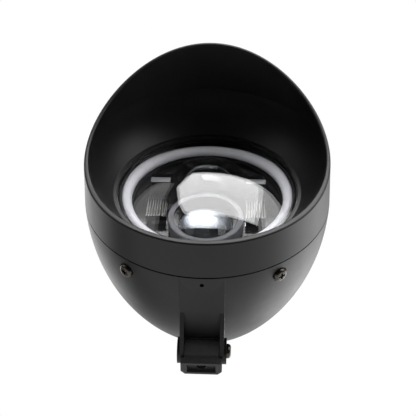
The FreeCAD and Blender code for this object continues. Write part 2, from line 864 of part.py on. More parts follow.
def make_driver_board():
    """Round circuit board on the tub's floor."""
    body = insert_body("driver_board")
    disc = sketch_on(body, "XY_Plane", "-tub_depth")
    circle(disc, "0", "0", "driver_radius")
    pad(body, disc, "board_thick")
    pedestal_holes(body, "-tub_depth", "board_thick")
    return body


def make_heat_sink():
    """Round sink: base plate, a row of fins and two pedestals that reach the boards."""
    body = insert_body("heat_sink")
    disc = sketch_on(body, "XY_Plane", "sink_fin_top - fin_height")
    circle(disc, "0", "0", "sink_radius")
    pad(body, disc, "fin_height + sink_base")
    posts = sketch_on(body, "XY_Plane", "tub_back")
    for side in ("", "-"):
        circle(posts, "0", f"{side}lens_offset", "pedestal_radius")
    pad(body, posts, "led_back - tub_back")
    slot = sketch_on(body, "XY_Plane", "sink_fin_top")
    span = "(fin_pitch * (fin_slots - 1))"
    half = "(fin_pitch - fin_thick) / 2"
    past = "(sink_radius + cut_margin)"
    rectangle(slot, f"-{span} / 2 - {half}", f"-{span} / 2 + {half}", f"-{past}", past)
    first = pocket(body, slot, "fin_height + cut_margin")
    row_pattern(body, first, "fin_slots", span)
    return body


def make_retaining_ring():
    """Steel ring that clamps the insert's flange against the lip."""
    body = insert_body("retaining_ring")
    make_ring(body, "tub_outer + slip_fit", "clamp_radius", "clamp_back", "tub_rim_back")
    hole = sketch_on(body, "XY_Plane", "clamp_back")
    circle(hole, "0", "-clamp_pitch", "clamp_screw_shank + slip_fit")
    first = pocket(body, hole, "clamp_thick", forward=True)
    ring_pattern(body, [first], "screw_count")
    return body


def make_retaining_screws():
    """Pan head screws behind the retaining ring."""
    body = insert_body("retaining_screws")
    head = sketch_on(body, "XY_Plane", "clamp_back - clamp_screw_head_height")
    circle(head, "0", "-clamp_pitch", "clamp_screw_head")
    cap = pad(body, head, "clamp_screw_head_height")
    stem = sketch_on(body, "XY_Plane", "clamp_back")
    circle(stem, "0", "-clamp_pitch", "clamp_screw_shank")
    shank = pad(body, stem, "clamp_screw_length + clamp_thick - slip_fit")
    ring_pattern(body, [cap, shank], "screw_count")
    return body


def make_wire_grommet():
    """Rubber grommet with a flange each side of the tail's wall and a bore for the wires."""
    body = lamp_body("wire_grommet")
    neck = "(grommet_hole - part_gap)"
    lip = "(grommet_flange - grommet_thick / 2)"
    inside = f"(part_gap - nose_centre - sqrt((nose_radius - shell_wall)^2 - {lip}^2))"
    revolve(
        body,
        [
            ("grommet_bore", "tail_face - grommet_thick"),
            ("grommet_flange - grommet_thick / 3", "tail_face - grommet_thick"),
            ("grommet_flange", "tail_face - grommet_thick * 2 / 3"),
            ("grommet_flange", "tail_face"),
            (neck, "tail_face"),
            (neck, inside),
            (lip, inside),
            (neck, f"{inside} + grommet_thick"),
            ("grommet_bore", f"{inside} + grommet_thick"),
        ],
    )
    return body


def make_mount_block():
    """Knuckle, neck and foot, with a cross bore, and a tapped hole in the floor of a slot under the foot."""
    body = pivot_body("mount_block")
    front_drop = "sqrt(knuckle_radius^2 - neck_front^2)"
    back_drop = "sqrt(knuckle_radius^2 - neck_back^2)"
    foot_top = "(-lug_radius - foot_clearance)"
    side = sketch_on(body, "YZ_Plane")
    outline(
        side,
        [
            ("-neck_front", foot_top),
            ("neck_back", foot_top),
            ("neck_back", f"-{back_drop}", ("left", "knuckle_radius")),
            ("0", "knuckle_radius", ("left", "knuckle_radius")),
            ("-neck_front", f"-{front_drop}"),
        ],
    )
    pad(body, side, "cheek_gap - knuckle_side_gap * 2", both_ways=True)
    foot = sketch_on(body, "XY_Plane", "-pivot_height - slot_depth")
    half = "foot_width / 2"
    foot_back = "pivot_ahead + foot_half"
    outline(
        foot,
        [
            (f"-{half}", "pivot_ahead - foot_half"),
            (half, "pivot_ahead - foot_half"),
            (half, f"{foot_back} - foot_corner"),
            (f"{half} - foot_corner", foot_back),
            (f"-{half} + foot_corner", foot_back),
            (f"-{half}", f"{foot_back} - foot_corner"),
        ],
    )
    pad(body, foot, f"{foot_top} + pivot_height + slot_depth")
    slot = sketch_on(body, "XY_Plane", "-pivot_height - slot_depth")
    slot_front, slot_back = "pivot_ahead - slot_width / 2", "pivot_ahead + slot_width / 2"
    rectangle(slot, "-slot_length / 2", "slot_length / 2", slot_front, slot_back)
    pocket(body, slot, "slot_depth", forward=True)
    hole = sketch_on(body, "XY_Plane", "-pivot_height")
    circle(hole, "0", "pivot_ahead", "mount_hole")
    pocket(body, hole, "mount_hole_depth", forward=True)
    bore = sketch_on(body, "YZ_Plane")
    circle(bore, "0", "0", "bolt_radius + bolt_running_fit")
    pocket(body, bore, "foot_width + cut_margin", both_ways=True)
    return body


def make_pivot_bolt():
    """Cross bolt, its head on the right ear and its end in the nut."""
    body = pivot_body("pivot_bolt", Rotation(Vector(0, 1, 0), 90))
    seat, tip = "ear_width / 2", "nut_sink - ear_width / 2"
    revolve(body, button_profile(seat, "bolt_radius", "bolt_head", "bolt_head_height", "bolt_socket", tip))
    return body


def make_pivot_nut():
    """Thin hexagonal nut in the left ear's pocket."""
    body = pivot_body("pivot_nut")
    face = sketch_on(body, "YZ_Plane", "-ear_width / 2 + nut_sink")
    hexagon(face, "nut_across_flats")
    circle(face, "0", "0", "bolt_radius + bolt_running_fit")
    pad(body, face, "nut_thick")
    return body


bucket = make_bucket()
sink_nut(bucket)
halo_back = "-halo_tube - board_gap"
parts = [
    bucket,
    make_visor_ring(),
    make_ring(lamp_body("seam_gasket"), "mouth_radius", "shell_radius - seam_recess", "-seam_gap", "0"),
    make_visor_screws(),
    make_lens_cover(),
    make_ring(insert_body("lens_gasket"), "lip_bore", "flange_radius", "flange_front", "lip_back"),
    make_halo(),
    make_ring(
        insert_body("halo_led_board"), "halo_inner", "cover_bore - part_gap", "-bezel_depth", halo_back
    ),
    make_inner_bezel(),
    *make_lens_stack("low_beam", "-lens_offset", "low_holder_front"),
    *make_lens_stack("high_beam", "lens_offset", "high_holder_front"),
    *make_side_pair("left", "-"),
    *make_side_pair("right", ""),
    make_insert_housing(),
    make_driver_board(),
    make_heat_sink(),
    make_retaining_ring(),
    make_retaining_screws(),
    make_wire_grommet(),
    make_mount_block(),
    make_pivot_bolt(),
    make_pivot_nut(),
]
doc.recompute()

for item in doc.Objects:
    if {"Invalid", "Error"} & set(item.State):
        raise RuntimeError(f"{item.Name} did not build: {item.State}")
for part in parts:
    if part.Shape.isNull() or not part.Shape.isValid():
        raise RuntimeError(f"{part.Label} has no valid shape")

os.makedirs("parts", exist_ok=True)
for part in parts:
    part.Shape.exportStep(f"parts/{part.Label}.step")
    print(f"{part.Label}: {len(part.Shape.Solids)} solid(s), {part.Shape.Volume / 1000:.1f} cm3")
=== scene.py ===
import logging
import math
from dataclasses import dataclass, field
from enum import Enum
from typing import Any, Callable, Sequence

import bmesh
import bpy
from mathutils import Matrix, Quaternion, Vector


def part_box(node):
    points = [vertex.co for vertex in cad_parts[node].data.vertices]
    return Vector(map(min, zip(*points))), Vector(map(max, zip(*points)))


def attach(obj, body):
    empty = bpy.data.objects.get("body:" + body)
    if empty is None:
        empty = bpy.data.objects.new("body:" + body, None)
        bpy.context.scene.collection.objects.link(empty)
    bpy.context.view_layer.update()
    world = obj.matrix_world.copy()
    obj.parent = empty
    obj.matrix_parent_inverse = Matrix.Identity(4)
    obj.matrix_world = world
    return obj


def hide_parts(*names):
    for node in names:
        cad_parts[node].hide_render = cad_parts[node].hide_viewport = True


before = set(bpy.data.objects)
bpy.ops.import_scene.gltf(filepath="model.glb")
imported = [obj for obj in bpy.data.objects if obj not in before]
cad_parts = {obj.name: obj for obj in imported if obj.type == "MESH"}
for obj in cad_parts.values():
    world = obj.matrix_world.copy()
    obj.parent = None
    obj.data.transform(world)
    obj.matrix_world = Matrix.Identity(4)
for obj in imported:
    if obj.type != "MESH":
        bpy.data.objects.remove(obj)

MM = 0.001
# Width and height of the picture, and width of the camera's sensor
PICTURE_PX = 416
SENSOR_MM = 36.0
# Angle between two faces from which their edge stays sharp
SHARP_DEG = 35.0
# Half width of a cross recess's arm beside its length
CROSS_ARM = 0.28
# Range that Blender's noise mostly stays in
NOISE_LOW, NOISE_HIGH = 0.3, 0.7
# A ray has met no mirror yet where its count of mirrors is below this
FIRST_MIRROR = 0.5
# Smaller than any size of the lamp, metres
TINY = 1e-6
LOG = logging.getLogger("headlight")

Point = tuple[float, float]
Radius = float | Callable[[float], float]
Place = Callable[[float, float, float], Vector]
Socket = bpy.types.NodeSocket
Tree = bpy.types.NodeTree


class Side(Enum):
    """Sides of the lamp, with the sign of their X."""

    LEFT = -1
    RIGHT = 1


class Beam(Enum):
    """Projectors, with the sign of their height above the lamp's axis."""

    LOW = -1
    HIGH = 1


class Drive(Enum):
    """Recesses that a screwdriver or key goes into."""

    CROSS = "cross"
    HEXAGON = "hexagon"


def linear(hex_colour: str) -> tuple[float, float, float, float]:
    """Turns an sRGB hex colour into linear light.

    Args:
        hex_colour: Six hex digits after a hash.

    Returns:
        Linear red, green and blue, and an alpha of 1.
    """
    parts = [int(hex_colour[i : i + 2], 16) / 255 for i in (1, 3, 5)]
    light = [c / 12.92 if c <= 0.04045 else ((c + 0.055) / 1.055) ** 2.4 for c in parts]
    return (*light, 1.0)


def add_node(tree: Tree, kind: str, inputs: dict[Any, Any] | None = None, **settings: Any) -> bpy.types.Node:
    """Adds a node, sets its properties and fills its inputs.

    Args:
        tree: Node tree that gets the node.
        kind: Blender's name for the node's type.
        inputs: Socket name or number to the value set on it, or to the output linked to it.
        **settings: Properties of the node itself.

    Returns:
        The new node.
    """
    node = tree.nodes.new(kind)
    for name, setting in settings.items():
        setattr(node, name, setting)
    for socket, value in (inputs or {}).items():
        if isinstance(value, Socket):
            tree.links.new(value, node.inputs[socket])
        else:
            node.inputs[socket].default_value = value
    return node


def empty_material(name: str) -> tuple[bpy.types.Material, Tree]:
    """Makes a material that has no nodes yet.

    Args:
        name: Name of the material.

    Returns:
        The material and its node tree.
    """
    material = bpy.data.materials.new(name)
    material.use_nodes = True
    material.node_tree.nodes.clear()
    return material, material.node_tree


@dataclass(frozen=True)
class Finish:
    """A solid surface: colour with a slight mottle, roughness that varies, and a fine bump.

    Attributes:
        name: What the material is called in the shop.
        colour: Main colour, sRGB hex.
        mottle: Second colour that the mottle drifts to, sRGB hex.
        roughness: Mean roughness.
        spread: How far the roughness drifts each way.
        metallic: 1 for bare metal.
        ior: Refractive index, or None to keep the default that metals have.
        mottle_mm: Width of one patch of the mottle.
        grain_mm: Width of one grain of the bump.
        grain_lift_mm: Height of the bump.
        scatter_mm: Depth that light soaks in, 0 for none.
        scatter: Share of the light that soaks in where scatter_mm isn't 0.
        edge_mm: Radius that sharp edges look rounded to, 0 for none.
    """

    name: str
    colour: str
    mottle: str
    roughness: float
    spread: float = 0.05
    metallic: float = 0.0
    ior: float | None = 1.5
    mottle_mm: float = 30.0
    grain_mm: float = 0.8
    grain_lift_mm: float = 0.01
    scatter_mm: float = 0.0
    scatter: float = 0.9
    edge_mm: float = 0.0

    def material(self) -> bpy.types.Material:
        """Builds the material.

        Returns:
            The material, with its detail from procedural nodes.
        """
        material, tree = empty_material(self.name)
        place = add_node(tree, "ShaderNodeTexCoord").outputs["Object"]
        mottle = {"Vector": place, "Scale": 1 / (self.mottle_mm * MM), "Detail": 5.0, "Roughness": 0.6}
        patches = add_node(tree, "ShaderNodeTexNoise", mottle).outputs["Fac"]
        colours = {0: patches, 6: linear(self.colour), 7: linear(self.mottle)}
        drift = {
            "Value": patches,
            "From Min": NOISE_LOW,
            "From Max": NOISE_HIGH,
            "To Min": self.roughness - self.spread,
            "To Max": self.roughness + self.spread,
        }
        grit = {"Vector": place, "Scale": 1 / (self.grain_mm * MM), "Detail": 3.0}
        grain = add_node(tree, "ShaderNodeTexNoise", grit).outputs["Fac"]
        bump = {"Height": grain, "Strength": 1.0, "Distance": self.grain_lift_mm * MM}
        if self.edge_mm:
            bump["Normal"] = add_node(tree, "ShaderNodeBevel", {"Radius": self.edge_mm * MM}).outputs[0]
        inputs = {
            "Base Color": add_node(tree, "ShaderNodeMix", colours, data_type="RGBA").outputs[2],
            "Metallic": self.metallic,
            "Roughness": add_node(tree, "ShaderNodeMapRange", drift).outputs[0],
            "Normal": add_node(tree, "ShaderNodeBump", bump).outputs["Normal"],
        }
        if self.ior is not None:
            inputs["IOR"] = self.ior
        if self.scatter_mm:
            inputs["Subsurface Weight"] = self.scatter
            inputs["Subsurface Radius"] = (1.0, 1.0, 1.0)
            inputs["Subsurface Scale"] = self.scatter_mm * MM
        shader = add_node(tree, "ShaderNodeBsdfPrincipled", inputs)
        add_node(tree, "ShaderNodeOutputMaterial", {"Surface": shader.outputs["BSDF"]})
        return material


@dataclass(frozen=True)
class ClearPlastic:
    """A clear moulding or lens: it bends and mirrors light, and lamps shine through it.

    Attributes:
        name: What the material is called in the shop.
        tint: Colour of the light that passes, sRGB hex.
        ior: Refractive index.
        roughness: Roughness of the polish.
        ripple_mm: Width of the moulding's faint ripples.
        ripple_lift_mm: Height of those ripples.
    """

    name: str
    tint: str
    ior: float
    roughness: float = 0.0
    ripple_mm: float = 25.0
    ripple_lift_mm: float = 0.01

    def material(self) -> bpy.types.Material:
        """Builds the material.

        Returns:
            The material, with shadow rays let through.
        """
        material, tree = empty_material(self.name)
        place = add_node(tree, "ShaderNodeTexCoord").outputs["Object"]
        waves = {"Vector": place, "Scale": 1 / (self.ripple_mm * MM), "Detail": 1.0}
        ripple = add_node(tree, "ShaderNodeTexNoise", waves).outputs["Fac"]
        bump = {"Height": ripple, "Strength": 1.0, "Distance": self.ripple_lift_mm * MM}
        inputs = {
            "Base Color": linear(self.tint),
            "Transmission Weight": 1.0,
            "Roughness": self.roughness,
            "IOR": self.ior,
            "Normal": add_node(tree, "ShaderNodeBump", bump).outputs["Normal"],
        }
        glass = add_node(tree, "ShaderNodeBsdfPrincipled", inputs).outputs["BSDF"]
        through = add_node(tree, "ShaderNodeBsdfTransparent", {"Color": linear(self.tint)}).outputs[0]
        shadow = add_node(tree, "ShaderNodeLightPath").outputs["Is Shadow Ray"]
        surface = add_node(tree, "ShaderNodeMixShader", {0: shadow, 1: glass, 2: through}).outputs[0]
        add_node(tree, "ShaderNodeOutputMaterial", {"Surface": surface})
        return material


AnyFinish = Finish | ClearPlastic

# Powder coat on cast aluminium: satin black, a faint orange peel, softly blurred reflections
POWDER_COAT = Finish(
    "satin_black_powder_coat",
    "#070708",
    "#0b0b0c",
    0.43,
    0.03,
    grain_mm=1.6,
    grain_lift_mm=0.006,
    edge_mm=0.5,
)
# Black oxide on the cast mount block: dark grey, a little rough, paler in patches, edges catch the light
BLACK_OXIDE = Finish(
    "black_oxide_cast_steel", "#252526", "#383839", 0.4, 0.06, mottle_mm=3.0, grain_mm=0.6, edge_mm=0.5
)
# Moulded rubber: dull, slightly brown black with a fine tooth
EPDM_RUBBER = Finish(
    "moulded_epdm_rubber", "#151515", "#1e1d1c", 0.75, 0.08, grain_mm=0.5, grain_lift_mm=0.02
)
# Black zinc plating: dark bronze grey metal, a little brighter in patches, edges catch the light
BLACK_ZINC = Finish(
    "black_zinc_steel",
    "#4c4843",
    "#67625c",
    0.3,
    0.08,
    metallic=1.0,
    ior=None,
    mottle_mm=2.0,
    grain_mm=0.3,
    edge_mm=0.3,
)
# Zinc plated steel: grey with a warm passivated cast
ZINC_STEEL = Finish(
    "zinc_plated_steel",
    "#8f8a82",
    "#6f6a63",
    0.34,
    0.08,
    metallic=1.0,
    ior=None,
    mottle_mm=2.5,
    grain_mm=0.3,
)
# Opal acrylic light guide: milky, softly glossy, light soaks into it
OPAL_ACRYLIC = Finish(
    "opal_acrylic",
    "#f1f1f5",
    "#e8e9ef",
    0.28,
    0.04,
    ior=1.49,
    grain_mm=3.0,
    grain_lift_mm=0.004,
    scatter_mm=6.0,
)
# Gloss black moulding behind the cover: a sharp dark mirror; also painted on as shade on the high beam's
# collar band and the lenses' backs
GLOSS_BLACK = Finish("gloss_black_abs", "#0b0b0c", "#101011", 0.14, 0.04, ior=1.53, grain_mm=6.0)
# Satin silver metal on the upper back of the low beam's lens: a painted highlight, silver with a soft blur
PAINTED_HIGHLIGHT_SILVER = Finish(
    "lens_back_painted_highlight",
    "#c9cbd0",
    "#bfc2c8",
    0.28,
    0.03,
    metallic=1.0,
    ior=None,
    grain_mm=0.6,
    grain_lift_mm=0.002,
)
# Grey satin moulding of the lower collar: a soft, even mid grey; the upper collar's band is the same part,
# painted gloss black as shade
SATIN_GREY = Finish(
    "satin_grey_pbt", "#5c5d61", "#66676b", 0.42, 0.04, ior=1.55, grain_mm=0.5, grain_lift_mm=0.004
)
# White reflector moulding behind the bars: pale, slightly warm, softly glossy
WHITE_PLASTIC = Finish("white_reflector_pc", "#c8c8c2", "#b9b9b1", 0.35, 0.05, ior=1.58, mottle_mm=3.0)
# Vacuum metallised reflector: a bright mirror with faint ripples
MIRROR_METAL = Finish(
    "metallised_reflector",
    "#e6e8ea",
    "#dcdfe2",
    0.1,
    0.03,
    metallic=1.0,
    ior=None,
    grain_mm=4.0,
    grain_lift_mm=0.006,
)
# Black solder mask on the light sources' boards: dark and dull, with a faint drift in tone
BLACK_MASK = Finish("black_solder_mask", "#101112", "#17181a", 0.4, 0.05, mottle_mm=3.0, grain_mm=0.7)
# White solder mask on the driver's glass fibre board: chalky white with a slight warmth
SOLDER_MASK = Finish("white_solder_mask", "#d9dbd6", "#c4c7c0", 0.45, 0.05, mottle_mm=4.0, grain_mm=0.7)
# Glass filled nylon tub: dull charcoal
FILLED_NYLON = Finish("glass_filled_nylon", "#242526", "#2c2d2e", 0.6, 0.06, mottle_mm=6.0, grain_mm=0.6)
# Die cast aluminium: pale grey, slightly rough skin
CAST_ALUMINIUM = Finish(
    "die_cast_aluminium",
    "#a7a8aa",
    "#96979a",
    0.45,
    0.06,
    metallic=1.0,
    ior=None,
    mottle_mm=5.0,
    grain_mm=0.5,
)
# Phosphor of a white light source: lemon yellow, waxy
LED_PHOSPHOR = Finish("led_phosphor", "#e8c64a", "#d9b02f", 0.4, 0.05, mottle_mm=0.8, grain_mm=0.3)
# Pale grey on the front of the bars' ridge: a painted highlight for the band of light that the ridge catches
RIDGE_PAINTED_HIGHLIGHT = Finish(
    "ridge_painted_highlight", "#8f9091", "#7c7e80", 0.38, 0.06, ior=1.49, mottle_mm=1.5, grain_mm=0.4, scatter_mm=1.0
)
# Hard coated polycarbonate: a clear cover that mirrors the lamps strongly
CLEAR_COVER = ClearPlastic("clear_polycarbonate", "#fcfcfd", 1.58)
# Clear acrylic bars: bright edges and faint moulding ripples
CLEAR_ACRYLIC = ClearPlastic("clear_acrylic", "#f8fafb", 1.49, ripple_mm=6.0)
# Pressed glass of the projector lenses: clear with the slightest cool tint
LENS_GLASS = ClearPlastic("pressed_lens_glass", "#f4f8fa", 1.52)
# Seamless background paper on the floor: pale, dull and even
FLOOR_PAPER = Finish("pale_paper_floor", "#d8d8d8", "#d2d2d2", 0.7, 0.05, mottle_mm=400, grain_mm=3)


@dataclass
class LampFrame:
    """The lamp's own axes in the row frame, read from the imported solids.

    Attributes:
        axis_height: Height of the lamp's axis, metres.
        seam: Row Y of the seam plane, metres.
        lens_offset: Distance of a projector's axis from the lamp's axis, metres.
    """

    axis_height: float
    seam: float
    lens_offset: float

    @classmethod
    def read(cls) -> "LampFrame":
        """Reads the lamp's axes from the seam's gasket and the upper projector's lens.

        Returns:
            The lamp's frame.
        """
        low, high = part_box("seam_gasket")
        lens_low, lens_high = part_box("high_beam_lens")
        height = (low[2] + high[2]) / 2
        return cls(height, low[1], (lens_low[2] + lens_high[2]) / 2 - height)

    def point(self, across: float, up: float, forward: float) -> Vector:
        """Place in the row frame of a place in the lamp's frame, all in metres."""
        return Vector((across, self.seam - forward, self.axis_height + up))

    def span(self, node: str) -> tuple[float, float, float]:
        """Half width, back and front of a node, with back and front counted ahead of the seam."""
        low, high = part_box(node)
        return (high[0] - low[0]) / 2, self.seam - high[1], self.seam - low[1]


@dataclass
class Workshop:
    """Makes pieces and keeps one material for each finish.

    Attributes:
        materials: Finished materials by name.
    """

    materials: dict[str, bpy.types.Material] = field(default_factory=dict)

    def material(self, finish: AnyFinish) -> bpy.types.Material:
        """Finds the material of a finish, which is built once.

        Args:
            finish: The finish.

        Returns:
            Its material.
        """
        if finish.name not in self.materials:
            self.materials[finish.name] = finish.material()
        return self.materials[finish.name]

    def dress(self, node: str, finish: AnyFinish) -> None:
        """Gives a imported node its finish.

        Args:
            node: Name of the node.
            finish: Finish for all of it.
        """
        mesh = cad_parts[node].data
        mesh.materials.clear()
        mesh.materials.append(self.material(finish))
        LOG.info("dressed %s in %s", node, finish.name)

    def piece(
        self,
        name: str,
        work: bmesh.types.BMesh,
        finishes: Sequence[AnyFinish],
        slot: str,
        replaces: Sequence[str] = (),
    ) -> None:
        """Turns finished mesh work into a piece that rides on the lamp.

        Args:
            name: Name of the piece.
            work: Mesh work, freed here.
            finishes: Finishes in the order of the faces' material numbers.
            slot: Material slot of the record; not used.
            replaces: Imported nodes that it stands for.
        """
        bmesh.ops.recalc_face_normals(work, faces=work.faces)
        mesh = bpy.data.meshes.new(name)
        work.to_mesh(mesh)
        work.free()
        for finish in finishes:
            mesh.materials.append(self.material(finish))
        thing = bpy.data.objects.new(name, mesh)
        bpy.context.scene.collection.objects.link(thing)
        mesh.shade_smooth()
        mesh.set_sharp_from_angle(angle=math.radians(SHARP_DEG))
        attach(thing, "lamp")
        if replaces:
            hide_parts(*replaces)
        LOG.info("made %s, %d faces", name, len(mesh.polygons))


def spin(
    work: bmesh.types.BMesh,
    profile: Sequence[tuple[Radius, float]],
    place: Place,
    steps: int,
    closed: bool = False,
    finish_of: Callable[[int], int] = lambda index: 0,
) -> None:
    """Turns a profile about an axis into a skin.

    Args:
        work: Mesh work that gets the faces.
        profile: Points as (radius, along) in metres. A radius may be a function of the angle, and a
            radius of 0 becomes one point on the axis.
        place: Gives the row place of (across, up, along).
        steps: Number of steps round the axis.
        closed: Whether the last point joins the first.
        finish_of: Gives the finish number of the band that starts at a point of the profile.
    """
    angles = [2 * math.pi * step / steps for step in range(steps)]
    rings = []
    for radius, along in profile:
        if radius == 0.0:
            rings.append([work.verts.new(place(0.0, 0.0, along))] * steps)
            continue
        reach = radius if callable(radius) else (lambda angle, fixed=radius: fixed)
        rings.append(
            [work.verts.new(place(reach(a) * math.cos(a), reach(a) * math.sin(a), along)) for a in angles]
        )
    bands = list(zip(rings, rings[1:]))
    if closed:
        bands.append((rings[-1], rings[0]))
    for index, (near, far) in enumerate(bands):
        for step in range(steps):
            after = (step + 1) % steps
            corners = list(dict.fromkeys([near[step], near[after], far[after], far[step]]))
            if len(corners) > 2:
                work.faces.new(corners).material_index = finish_of(index)


def arc_points(centre: Point, radius: float, start: float, end: float, count: int) -> list[Point]:
    """Points along a round stretch of a profile.

    Args:
        centre: Centre of the round.
        radius: Radius of the round.
        start: First angle, degrees.
        end: Last angle, degrees.
        count: Number of points, ends included.

    Returns:
        The points in order.
    """
    points = []
    for index in range(count):
        angle = math.radians(start + (end - start) * index / (count - 1))
        points.append((centre[0] + radius * math.cos(angle), centre[1] + radius * math.sin(angle)))
    return points


def cap_points(rim: float, base: float, crown: float, count: int) -> list[Point]:
    """Points of a shallow dome from its crown on the axis out to its rim.

    Args:
        rim: Radius at the rim.
        base: Along place of the rim.
        crown: Along place of the crown.
        count: Number of points, ends included.

    Returns:
        The points as (radius, along).
    """
    rise = crown - base
    bend = (rim**2 + rise**2) / (2 * rise)
    points = []
    for index in range(count):
        radius = rim * index / (count - 1)
        points.append((radius, crown - bend + math.sqrt(bend**2 - radius**2)))
    return points


def slab(
    work: bmesh.types.BMesh,
    corner: Sequence[float],
    size: Sequence[float],
    place: Place,
    cut: Callable[[float, float], float] = lambda across, up: 0.0,
    counts: tuple[int, int] = (1, 1),
) -> None:
    """Adds a block whose front may carry a relief.

    Args:
        work: Mesh work that gets the faces.
        corner: Low corner at the back as (across, up, along), metres.
        size: Width, height and depth, metres.
        place: Gives the row place of (across, up, along).
        cut: Depth cut into the front at (across, up), measured from the corner in metres.
        counts: Steps across and up the front.
    """
    columns, rows = counts
    xs = [size[0] * index / columns for index in range(columns + 1)]
    ys = [size[1] * index / rows for index in range(rows + 1)]
    front = [
        [work.verts.new(place(corner[0] + x, corner[1] + y, corner[2] + size[2] - cut(x, y))) for x in xs]
        for y in ys
    ]
    for low, high in zip(front, front[1:]):
        for index in range(columns):
            work.faces.new((low[index], low[index + 1], high[index + 1], high[index]))
    loop = [(column, 0) for column in range(columns)] + [(columns, row) for row in range(rows)]
    loop += [(column, rows) for column in range(columns, 0, -1)] + [(0, row) for row in range(rows, 0, -1)]
    edge = [front[row][column] for column, row in loop]
    foot = [work.verts.new(place(corner[0] + xs[c], corner[1] + ys[r], corner[2])) for c, r in loop]
    for index in range(len(loop)):
        after = (index + 1) % len(loop)
        work.faces.new((edge[index], foot[index], foot[after], edge[after]))
    work.faces.new(foot)


def recess(drive: Drive, reach: float) -> Callable[[float], float]:
    """Outline of a screw's recess.

    Args:
        drive: Kind of recess.
        reach: Half the width across its flats, or the length of a cross's arm.

    Returns:
        Function from an angle to the recess's radius there.
    """
    arm = CROSS_ARM * reach

    def hexagon(angle: float) -> float:
        """Radius of a hexagon at an angle."""
        folded = (angle + math.pi / 6) % (math.pi / 3) - math.pi / 6
        return reach / math.cos(folded)

    def cross(angle: float) -> float:
        """Radius of a cross at an angle."""
        folded = (angle + math.pi / 4) % (math.pi / 2) - math.pi / 4
        return min(reach / math.cos(folded), arm / max(abs(math.sin(folded)), TINY))

    return hexagon if drive is Drive.HEXAGON else cross


@dataclass
class ScrewShape:
    """Button head screw, turned along its own axis with the seat at 0.

    Attributes:
        head_mm: Radius of the head.
        height_mm: Height of the head.
        shank_mm: Radius of the shank.
        length_mm: Length below the seat.
        drive: Kind of recess.
        drive_mm: Half width of the recess.
        edge_mm: Height of the head's straight edge.
        crown_mm: Radius of the flat on top of the head.
        floor: Height of the recess's floor beside the head's height.
        taper: Width of the recess at its floor beside its width at its mouth.
        round_steps: Steps of the head's rounded edge.
        steps: Steps round the axis.
    """

    head_mm: float
    height_mm: float
    shank_mm: float
    length_mm: float
    drive: Drive
    drive_mm: float
    edge_mm: float = 0.9
    crown_mm: float = 2.9
    floor: float = 0.35
    taper: float = 0.8
    round_steps: int = 8
    steps: int = 96

    def add_to(self, work: bmesh.types.BMesh, place: Place) -> None:
        """Adds the screw to mesh work.

        Args:
            work: Mesh work that gets the faces.
            place: Gives the row place of (across, up, along) about the screw's axis.
        """
        head, height = self.head_mm * MM, self.height_mm * MM
        edge, shank, length = self.edge_mm * MM, self.shank_mm * MM, self.length_mm * MM
        profile: list[tuple[Radius, float]] = [(0.0, -length), (shank, -length), (shank, 0.0), (head, 0.0)]
        profile.append((head, edge))
        for index in range(1, self.round_steps + 1):
            share = index / self.round_steps * math.pi / 2
            across = head - (head - self.crown_mm * MM) * (1 - math.cos(share))
            profile.append((across, edge + (height - edge) * math.sin(share)))
        mouth = recess(self.drive, self.drive_mm * MM)
        floor = height * self.floor
        profile += [(mouth, height), (lambda angle: self.taper * mouth(angle), floor), (0.0, floor)]
        spin(work, profile, place, self.steps)


@dataclass
class Shell:
    """Painted bucket, hooded ring, mount block and what holds them together.

    Attributes:
        lamp: The lamp's axes.
        shop: Maker of pieces.
        screw: Shape of the visor screws.
        screw_count: Number of visor screws.
        bolt: Shape of the pivot bolt.
    """

    lamp: LampFrame
    shop: Workshop
    screw: ScrewShape = field(default_factory=lambda: ScrewShape(5.2, 3.3, 2.5, 6.2, Drive.CROSS, 2.7))
    screw_count: int = 5
    bolt: ScrewShape = field(default_factory=lambda: ScrewShape(5.25, 3.2, 3.0, 35.1, Drive.HEXAGON, 2.0))

    def build(self) -> None:
        """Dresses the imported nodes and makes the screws."""
        groups = {
            POWDER_COAT: ("bucket", "visor_ring"),
            BLACK_OXIDE: ("mount_block",),
            EPDM_RUBBER: ("seam_gasket", "lens_gasket", "wire_grommet"),
            ZINC_STEEL: ("pivot_nut", "retaining_ring", "retaining_screws"),
        }
        for finish, nodes in groups.items():
            for node in nodes:
                self.shop.dress(node, finish)
        self.build_visor_screws()
        self.build_pivot_bolt()

    def build_visor_screws(self) -> None:
        """Cross recessed screws round the bucket's mouth."""
        low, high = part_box("visor_screws")
        seat = high[2] - self.lamp.axis_height - self.screw.height_mm * MM
        middle = self.lamp.seam - (low[1] + high[1]) / 2
        work = bmesh.new()
        for index in range(self.screw_count):
            around = math.radians(90 + 360 / self.screw_count * index)
            outward = Vector((math.cos(around), math.sin(around)))

            def place(across: float, up: float, along: float, out: Vector = outward) -> Vector:
                """Row place about one screw's axis."""
                radial = out * (seat + along) + Vector((-out.y, out.x)) * across
                return self.lamp.point(radial.x, radial.y, middle + up)

            self.screw.add_to(work, place)
        self.shop.piece("visor_screw_set", work, [BLACK_ZINC], "zinc_steel", ["visor_screws"])

    def build_pivot_bolt(self) -> None:
        """Hexagon socket bolt across the ears, its head on the right."""
        low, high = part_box("pivot_bolt")
        seat = high[0] - self.bolt.height_mm * MM
        centre = ((low[1] + high[1]) / 2, (low[2] + high[2]) / 2)
        work = bmesh.new()
        self.bolt.add_to(
            work, lambda across, up, along: Vector((seat + along, centre[0] + across, centre[1] + up))
        )
        self.shop.piece("pivot_socket_bolt", work, [BLACK_ZINC], "zinc_steel", ["pivot_bolt"])


